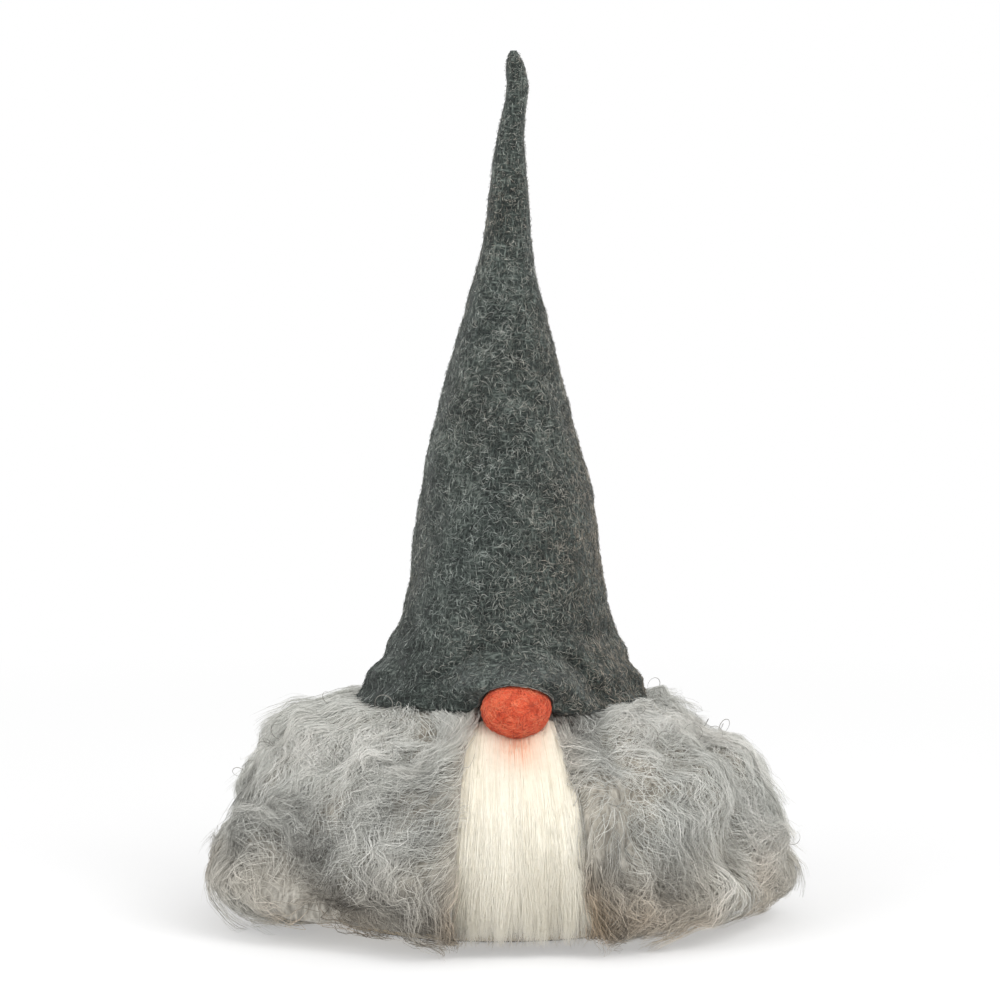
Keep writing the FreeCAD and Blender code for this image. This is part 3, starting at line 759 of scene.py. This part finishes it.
# ---- Nose --------------------------------------------
nose_lumps = waves(51, 9.0)
nose_fine = waves(52, 1.6)
nose_blotches = waves(54, 6.5)
NOSE_FIBRES = 4200


def nose_point(tilt, turn, lift):
    """A point on the nose: tilt from its +X end and turn round it, in radians."""
    out = np.stack([np.cos(tilt), np.sin(tilt) * np.cos(turn), np.sin(tilt) * np.sin(turn)], -1)
    p = NOSE_CENTRE + out * NOSE_RADII
    bump = 0.28 * nose_lumps(p) + 0.06 * nose_fine(p)
    return p + out * (lift + bump)[..., None]


def nose():
    tilt = np.linspace(0.02, math.pi - 0.02, 120)[:, None]
    turn = np.linspace(0, 2 * math.pi, 180, endpoint=False)[None, :]
    tilt, turn = np.broadcast_arrays(tilt, turn)
    ball = sweep("nose_felt_ball", nose_point(tilt, turn, 0 * tilt), closed=False)
    dress([ball], nose_felt)
    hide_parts("nose_ball")
    draw = np.random.default_rng(53)
    count, steps = NOSE_FIBRES, 5
    start = (np.arccos(draw.uniform(-0.98, 0.98, count)), draw.uniform(0, 2 * math.pi, count))
    t = np.linspace(0, 1, steps)[None, :]
    stand = 0.5 * draw.uniform(0, 1, (count, 1)) ** 4
    lift = 0.05 + stand * np.sin(math.pi * t * draw.uniform(0.5, 1, (count, 1)))
    length = draw.uniform(2, 6.5, count)
    per_mm = 0.1  # radians in a mm of the surface

    def across(a):
        return per_mm / np.maximum(np.sin(a), 0.15)

    paths = felt_fibres(start, across, lambda a: per_mm, length, draw, steps, lift, nose_point)
    tone = shade(0.52 + draw.normal(0, 0.24, (count, 1)) + 0.12 * nose_blotches(paths))
    warm = draw.uniform(0, 0.5, (count, 1)) + 0 * t
    thick = draw.uniform(0.05, 0.085, (count, 1)) * taper(steps)
    dress(tubes("nose_fibre", paths, thick, {"tone": tone, "warm": warm}), nose_fibre)


# ---- Hat ---------------------------------------------
# Height, radius and sideways shift of the hat's outside.
HAT = smooth_table([
    (72, 51.5, 0.0),
    (75.6, 49.4, -0.6),
    (82, 45.8, -0.7),
    (90, 41.1, -0.5),
    (100, 36.2, 0.2),
    (115, 33.0, 0.8),
    (135, 30.2, 0.9),
    (155, 26.7, 0.3),
    (175, 22.2, 0.0),
    (195, 16.5, 0.1),
    (213, 11.6, 0.6),
    (228, 8.5, 0.9),
    (247, 6.4, 1.3),
    (262, 4.9, 1.8),
    (272, 4.2, 3.0),
    (281, 3.7, 4.6),
    (287, 3.5, 4.2),
    (291, 3.0, 3.4),
    (294.5, 1.3, 3.0),
], spacing=0.5, blur=1.6)
HAT_TOP = 294.5
BRIM_Z, BRIM_RADIUS = 75.2, 49.0
FELT = 3.5  # thickness of the felt
HAT_CUTS = (190.0, 240.0)  # heights where one piece of the hat's mesh ends and the next begins
HAT_BODIES = [("body", "hat_bend"), ("hat_bend", "hat_neck"), ("hat_neck", "hat_end")]
HAT_BENDS = [(154, 186), (197, 229), (249, 275)]  # a pair of heights for each piece of the hat
# The felt stands out over the nose: how high that starts in the middle and how much lower at the sides, how
# far it reaches sideways and forward, and over what height it comes out. Above it the felt swells a little.
PEAK_TOP, PEAK_FALL, PEAK_HALF, PEAK_REACH, PEAK_DROP = 95.0, 8.0, 20.5, 10.0, 7.5
PEAK_SWELL = 4.5
EDGE_WAVE = 1.1  # how far the low folds move the felt
FIBRE_DENSITY = 2.05  # fibres per square mm
hat_lumps = waves(61, 34.0)
hat_dents = waves(62, 13.0)
hat_fine = waves(63, 2.6)
brim_folds = waves(64, 20.0)
hat_shades = waves(66, 10.0)
hat_browns = waves(67, 48.0)


def hat_point(z, phi, lift, wall=1.0, below=0.0):
    """A point on the hat's felt: wall is 1 outside and 0 inside, lift is mm off the outside, and below is mm
    under z, on the rounded edge of the brim."""
    r, shift = HAT(z)
    narrow = 0.87 + 0.13 * smoothstep(BRIM_Z - 20, 150, z)
    thin = np.minimum(FELT, 0.8 * r)
    out = np.stack([np.cos(phi), narrow * np.sin(phi), 0 * z], -1)
    p = np.stack([shift + r * np.cos(phi), narrow * r * np.sin(phi), z], -1)
    # The felt's lumps, and its folds low down.
    low = 1 - smoothstep(86, 112, z)
    slim = 1 - smoothstep(150, 250, z)
    bump = (0.35 + 0.75 * slim) * hat_lumps(p) + (0.25 + 0.3 * slim + 0.5 * low) * hat_dents(p)
    lying = np.array([0.55, 1.0, 2.2])  # stretches the folds sideways
    bump += 0.10 * hat_fine(p) + EDGE_WAVE * low * brim_folds(p * lying)
    # The peak over the nose, the swell above it and the fold where they meet.
    x, front = p[..., 0], smoothstep(-8, -24, p[..., 1])
    arch = PEAK_TOP - PEAK_FALL * (x / PEAK_HALF) ** 2 + 0.7 * brim_folds(p)
    tucked = 1 - 0.75 * smoothstep(86, 77, z)
    peak = PEAK_REACH * smoothstep(0, 1, (arch - z) / PEAK_DROP) * np.exp(-((np.abs(x) / PEAK_HALF) ** 2.6))
    swell = PEAK_SWELL * smoothstep(PEAK_TOP + 26, PEAK_TOP - 4, z) * np.exp(-((x / 26) ** 2))
    fold = 2.3 * np.exp(-(((z - arch - 2.6) / 1.9) ** 2)) * smoothstep(36, 22, np.abs(x))
    bump += ((peak + swell) * tucked - fold) * front
    p = p + out * (bump + lift - thin * (1 - wall))[..., None]
    p[..., 2] -= below
    return keep_off_nose(p, 0.3 + 1.5 * wall)


def brim_edge(phi):
    """Height of the hat's lower edge: a little wavy, and lifted over the nose."""
    x = BRIM_RADIUS * np.cos(phi)
    nose = np.exp(-((x / 11.0) ** 4)) * (np.sin(phi) < 0)
    return BRIM_Z + 0.5 * np.sin(3 * phi + 1) + 0.3 * np.sin(7 * phi) + 7.5 * nose


def hat_wall(name, low, high, rows, columns):
    """A closed piece of the hat between two heights. Without low it starts at the rounded brim."""
    phi = np.linspace(0, 2 * math.pi, columns, endpoint=False)[:, None]
    start = brim_edge(phi) + FELT / 2 if low is None else low + 0 * phi
    up = start + (high - start) * np.linspace(0, 1, rows)[None, :]
    outside = hat_point(up, phi + 0 * up, 0 * up)
    down = up[:, ::-4]  # coarser, as it is out of sight
    inside = hat_point(down, phi + 0 * down, 0 * down, wall=0.0)
    parts, flags = [outside, inside], [np.zeros(up.shape, bool), np.zeros(down.shape, bool)]
    flags[0][:, -1] = flags[1][:, 0] = True
    if low is None:
        turn = np.linspace(-1, 1, 11)[None, 1:-1] * math.pi / 2 + 0 * start
        edge = hat_point(
            start + 0 * turn, phi + 0 * turn, 0 * turn, 0.5 + 0.5 * np.sin(turn), FELT / 2 * np.cos(turn)
        )
        parts.append(edge)
        flags.append(np.zeros(turn.shape, bool))
    else:
        flags[0][:, 0] = flags[1][:, -1] = True
    return sweep(name, np.concatenate(parts, axis=1), True, np.concatenate(flags, axis=1))


def hat_spire(name, low, rows, columns):
    """The solid top of the hat, from a flat lower end up to its rounded tip."""
    phi = np.linspace(0, 2 * math.pi, columns, endpoint=False)[None, :]
    z = np.linspace(low, HAT_TOP, rows)[:, None]
    rings = hat_point(z + 0 * phi, phi + 0 * z, np.zeros((rows, columns)))
    flag = np.zeros((rows, columns), bool)
    flag[0] = True
    return sweep(name, rings, False, flag)


def hat_fibres(z, draw, length):
    """Short fibres that lie on the felt, round its lower edge too: their paths, thickness and looks."""
    steps = 3
    t = np.linspace(0, 1, steps)[None, :]
    count = len(z)
    start = (z, draw.uniform(0, 2 * math.pi, count))
    rise = np.sin(math.pi * t * draw.uniform(0.5, 1.0, (count, 1)))
    lift = 0.04 + 0.7 * draw.uniform(0, 1, (count, 1)) ** 3 * rise

    def surface(a, b, off):
        edge = brim_edge(b) + FELT / 2
        below = np.clip(edge - a, 0, 0.45 * FELT)
        wall = 0.5 + np.sqrt(0.25 - (below / FELT) ** 2)
        return hat_point(np.clip(a, edge, HAT_TOP), b, off, wall, below)

    paths = felt_fibres(
        start, lambda a: 1 / np.maximum(HAT(a)[0], 2.0), lambda a: 1.0, length, draw, steps, lift, surface
    )
    # Low down the felt is darker, and it is browner towards +X. Painted light makes it lighter towards +X,
    # where the key light falls, more so low down.
    x, low = paths[..., 0], 1 - smoothstep(86, 112, paths[..., 2])
    tone = 0.42 + draw.normal(0, 0.34, (count, 1)) + 0.14 * hat_shades(paths)
    tone += (0.002 + 0.002 * low) * x - 0.06 * low
    warm = 0.45 + 0.3 * hat_browns(paths) + 0.012 * x + draw.normal(0, 0.15, (count, 1))
    thick = draw.uniform(0.045, 0.09, (count, 1)) * taper(steps)
    return paths, thick, {"tone": shade(tone), "warm": np.clip(warm, 0, 1)}


def hat():
    walls = [
        hat_wall("hat_felt_lower", None, HAT_CUTS[0], 150, 220),
        hat_wall("hat_felt_middle", HAT_CUTS[0], HAT_CUTS[1], 72, 220),
        hat_spire("hat_felt_upper", HAT_CUTS[1], 120, 110),
    ]
    for wall, node in zip(walls, (("hat_cone",), ("hat_middle",), ("hat_upper", "hat_tip"))):
        wall.data.materials.append(hat_felt)
        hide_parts(*node)
    draw = np.random.default_rng(65)
    edges = (BRIM_Z, *HAT_CUTS, HAT_TOP)
    groups = []
    for index, name in enumerate(("hat_fibre_lower", "hat_fibre_middle", "hat_fibre_upper")):
        low, high = edges[index], edges[index + 1]
        # The fibres are spread evenly over the felt's area.
        z_all = np.linspace(low, high, 400)
        area = np.cumsum(HAT(z_all)[0]) * (z_all[1] - z_all[0]) * 2 * math.pi
        count = int(area[-1] * FIBRE_DENSITY)
        z = np.interp(draw.uniform(0, area[-1], count), area, z_all)
        length = draw.uniform(1.2, 3.6, count) * np.clip(HAT(z)[0] / 12, 0.5, 1)
        paths, thick, values = hat_fibres(z, draw, length)
        fibres = tubes(name, paths, thick, values)
        for fibre in fibres:
            fibre.data.materials.append(hat_fibre)
        groups.append([walls[index]] + fibres)
    for group, (lower, upper), (first, last) in zip(groups, HAT_BODIES, HAT_BENDS):
        for piece in group:
            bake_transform(piece)


# ---- Sole and the pieces out of sight ----------------
def sole():
    """The felt disc under the body. Its lower face stays on the table but for small dents."""
    phi = np.linspace(0, 2 * math.pi, 150, endpoint=False)[:, None]
    lower, upper = np.linspace(0.2, 54, 60), np.linspace(56, 0.2, 20)  # radii of the rings of its faces
    r = np.concatenate([lower, [55.5, 57, 57, 57], upper])[None, :]
    z = np.concatenate([0 * lower, [0.35, 0.8, 1.5, 2.15], 0 * upper + 2.2])[None, :]
    x, y = r * np.cos(phi), DEPTH_RATIO * r * np.sin(phi)
    rings = np.stack(np.broadcast_arrays(x, y, z), -1)
    dent = 0.12 + 0.12 * nose_fine(rings * 0.7) + 0.1 * small_lumps(rings)
    dented = slice(1, len(lower))
    rings[:, dented, 2] += np.clip(dent[:, dented], 0, 0.4)
    disc = sweep("sole_felt_disc", rings, closed=True)
    dress([disc], sole_felt)
    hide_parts("sole_felt")


# The designed pieces with far more faces than a piece out of sight needs, and the share that is kept.
LIGHTER = {
    "hat_stitches": 0.2,
    "sole_stitches": 0.25,
    "front_seam": 0.25,
    "back_seam": 0.25,
    "inner_bag": 0.25,
    "weight_bag": 0.3,
    "body_stuffing": 0.3,
    "weight_fill": 0.3,
    "left_hide": 0.3,
    "right_hide": 0.3,
    "drawstring": 0.4,
}


def lighter(node, share):
    """A copy of a designed piece with fewer faces, which is shown instead of it."""
    whole = bmesh.new()
    whole.from_mesh(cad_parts[node].data)
    bmesh.ops.remove_doubles(whole, verts=whole.verts, dist=1e-6)
    obj = bpy.data.objects.new(f"{node}_light", bpy.data.meshes.new(f"{node}_light"))
    whole.to_mesh(obj.data)
    whole.free()
    bpy.context.scene.collection.objects.link(obj)
    obj.matrix_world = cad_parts[node].matrix_world.copy()
    obj.modifiers.new("fewer_faces", "DECIMATE").ratio = share
    fewer = bpy.data.meshes.new_from_object(obj.evaluated_get(bpy.context.evaluated_depsgraph_get()))
    obj.modifiers.clear()
    obj.data = fewer
    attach(obj, "body")
    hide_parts(node)
    return obj


def plain_pieces():
    """Materials for the designed pieces that are out of sight."""
    thread = cloth_material("thread", srgb(70, 68, 66), srgb(30, 29, 28), 0.3)
    cotton = cloth_material("cotton", srgb(222, 214, 194), srgb(170, 160, 140), 0.6)
    leather = grain_material("leather", srgb(214, 202, 178), srgb(168, 150, 122), 3.0, 0.8)
    board = grain_material("hardboard", srgb(150, 116, 80), srgb(96, 70, 46), 2.0, 0.7, (1.0, 1.0, 0.2))
    pellets = grain_material("pellets", srgb(215, 214, 208), srgb(120, 119, 115), 2.5, 0.5, bump_mm=1.2)
    stuffing = grain_material("stuffing", srgb(232, 226, 212), srgb(180, 172, 156), 5.0, 0.95, bump_mm=1.5)
    cord = cloth_material("cord", srgb(205, 192, 164), srgb(140, 126, 100), 0.5)
    stitches = ("sole_stitches", "front_seam", "back_seam", "beard_stitches", "nose_thread", "hat_stitches")
    looks = {
        "sewing_thread": (thread, stitches),
        "bag_cotton": (cotton, ("weight_bag", "inner_bag")),
        "hide": (leather, ("left_hide", "right_hide", "beard_strip")),
        "board": (board, ("base_board",)),
        "plastic_pellets": (pellets, ("weight_fill",)),
        "stuffing_wool": (stuffing, ("body_stuffing", "hat_stuffing")),
        "cord": (cord, ("drawstring",)),
    }
    for slot, (material, nodes) in looks.items():
        for node in nodes:
            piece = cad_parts[node]
            if node in LIGHTER:
                piece = lighter(node, LIGHTER[node])
            piece.data.materials.clear()
            piece.data.materials.append(material)


# ---- Studio ------------------------------------------
VIEW_AZIMUTH, VIEW_ELEVATION = math.radians(-4.6), math.radians(4.5)
VIEW_DISTANCE = 1.2
VIEW_WIDTH = 0.343  # metres across the picture at the gnome's axis
VIEW_AIM = (-0.0015, 0.1424)  # where the picture's centre is, to the right of and above the origin
# Name, place in metres and power in watts.
LIGHTS = [("key", (0.8, -1.0, 1.15), 12.5), ("fill", (-1.1, -0.8, 0.75), 8.0)]
LIGHT_SIZE = 0.9
LIGHT_AIM = Vector((0, 0, 0.1))


def studio():
    scene = bpy.context.scene
    scene.view_settings.view_transform = "Standard"
    floor = bpy.data.meshes.new("floor")
    half = 6.0
    corners = [(-half, -half, 0), (half, -half, 0), (half, half, 0), (-half, half, 0)]
    floor.from_pydata(corners, [], [(0, 1, 2, 3)])
    floor_obj = bpy.data.objects.new("floor", floor)
    scene.collection.objects.link(floor_obj)
    pale = Shader("floor", 0.9)
    pale.surface.inputs["Base Color"].default_value = (0.95, 0.95, 0.95, 1)
    away = pale.add("ShaderNodeVectorMath", {0: pale.place}, operation="LENGTH").outputs["Value"]
    fade_range = {"Value": away, "From Min": 0.14, "From Max": 0.75, "To Min": 0.35}
    far = pale.add("ShaderNodeMapRange", fade_range)
    white = pale.add("ShaderNodeEmission", {"Color": (1, 1, 1, 1), "Strength": 1.0})
    fade = pale.add(
        "ShaderNodeMixShader",
        {0: far.outputs["Result"], 1: pale.surface.outputs["BSDF"], 2: white.outputs["Emission"]},
    )
    pale.tree.links.new(fade.outputs["Shader"], pale.tree.nodes["Material Output"].inputs["Surface"])
    floor.materials.append(pale.material)

    world = bpy.data.worlds.new("studio")
    world.use_nodes = True
    scene.world = world
    nodes = world.node_tree.nodes
    nodes["Background"].inputs["Color"].default_value = (1.0, 1.0, 1.0, 1)
    # The backdrop is pure white where the camera sees it and a little darker as a light.
    seen = nodes.new("ShaderNodeLightPath").outputs["Is Camera Ray"]
    strength = nodes.new("ShaderNodeMapRange")
    strength.inputs["To Min"].default_value = 0.78
    strength.inputs["To Max"].default_value = 1.0
    world.node_tree.links.new(seen, strength.inputs["Value"])
    world.node_tree.links.new(strength.outputs["Result"], nodes["Background"].inputs["Strength"])

    for name, place, power in LIGHTS:
        light = bpy.data.lights.new(name, "AREA")
        light.size, light.energy = LIGHT_SIZE, power
        obj = bpy.data.objects.new(name, light)
        scene.collection.objects.link(obj)
        obj.location = place
        obj.rotation_mode = "QUATERNION"
        obj.rotation_quaternion = (LIGHT_AIM - Vector(place)).to_track_quat("-Z", "Y")

    a, e = VIEW_AZIMUTH, VIEW_ELEVATION
    back = Vector((math.sin(a) * math.cos(e), -math.cos(a) * math.cos(e), math.sin(e)))
    right = Vector((math.cos(a), math.sin(a), 0))
    up = back.cross(right)
    camera = bpy.data.cameras.new("camera")
    camera.lens = camera.sensor_width * VIEW_DISTANCE / VIEW_WIDTH
    obj = bpy.data.objects.new("camera", camera)
    scene.collection.objects.link(obj)
    obj.location = right * VIEW_AIM[0] + up * VIEW_AIM[1] + back * VIEW_DISTANCE
    obj.rotation_mode = "QUATERNION"
    obj.rotation_quaternion = (-back).to_track_quat("-Z", "Y")
    scene.camera = obj


coat()
stray_loops()
clipped_wool()
beard()
nose()
hat()
sole()
plain_pieces()
studio()
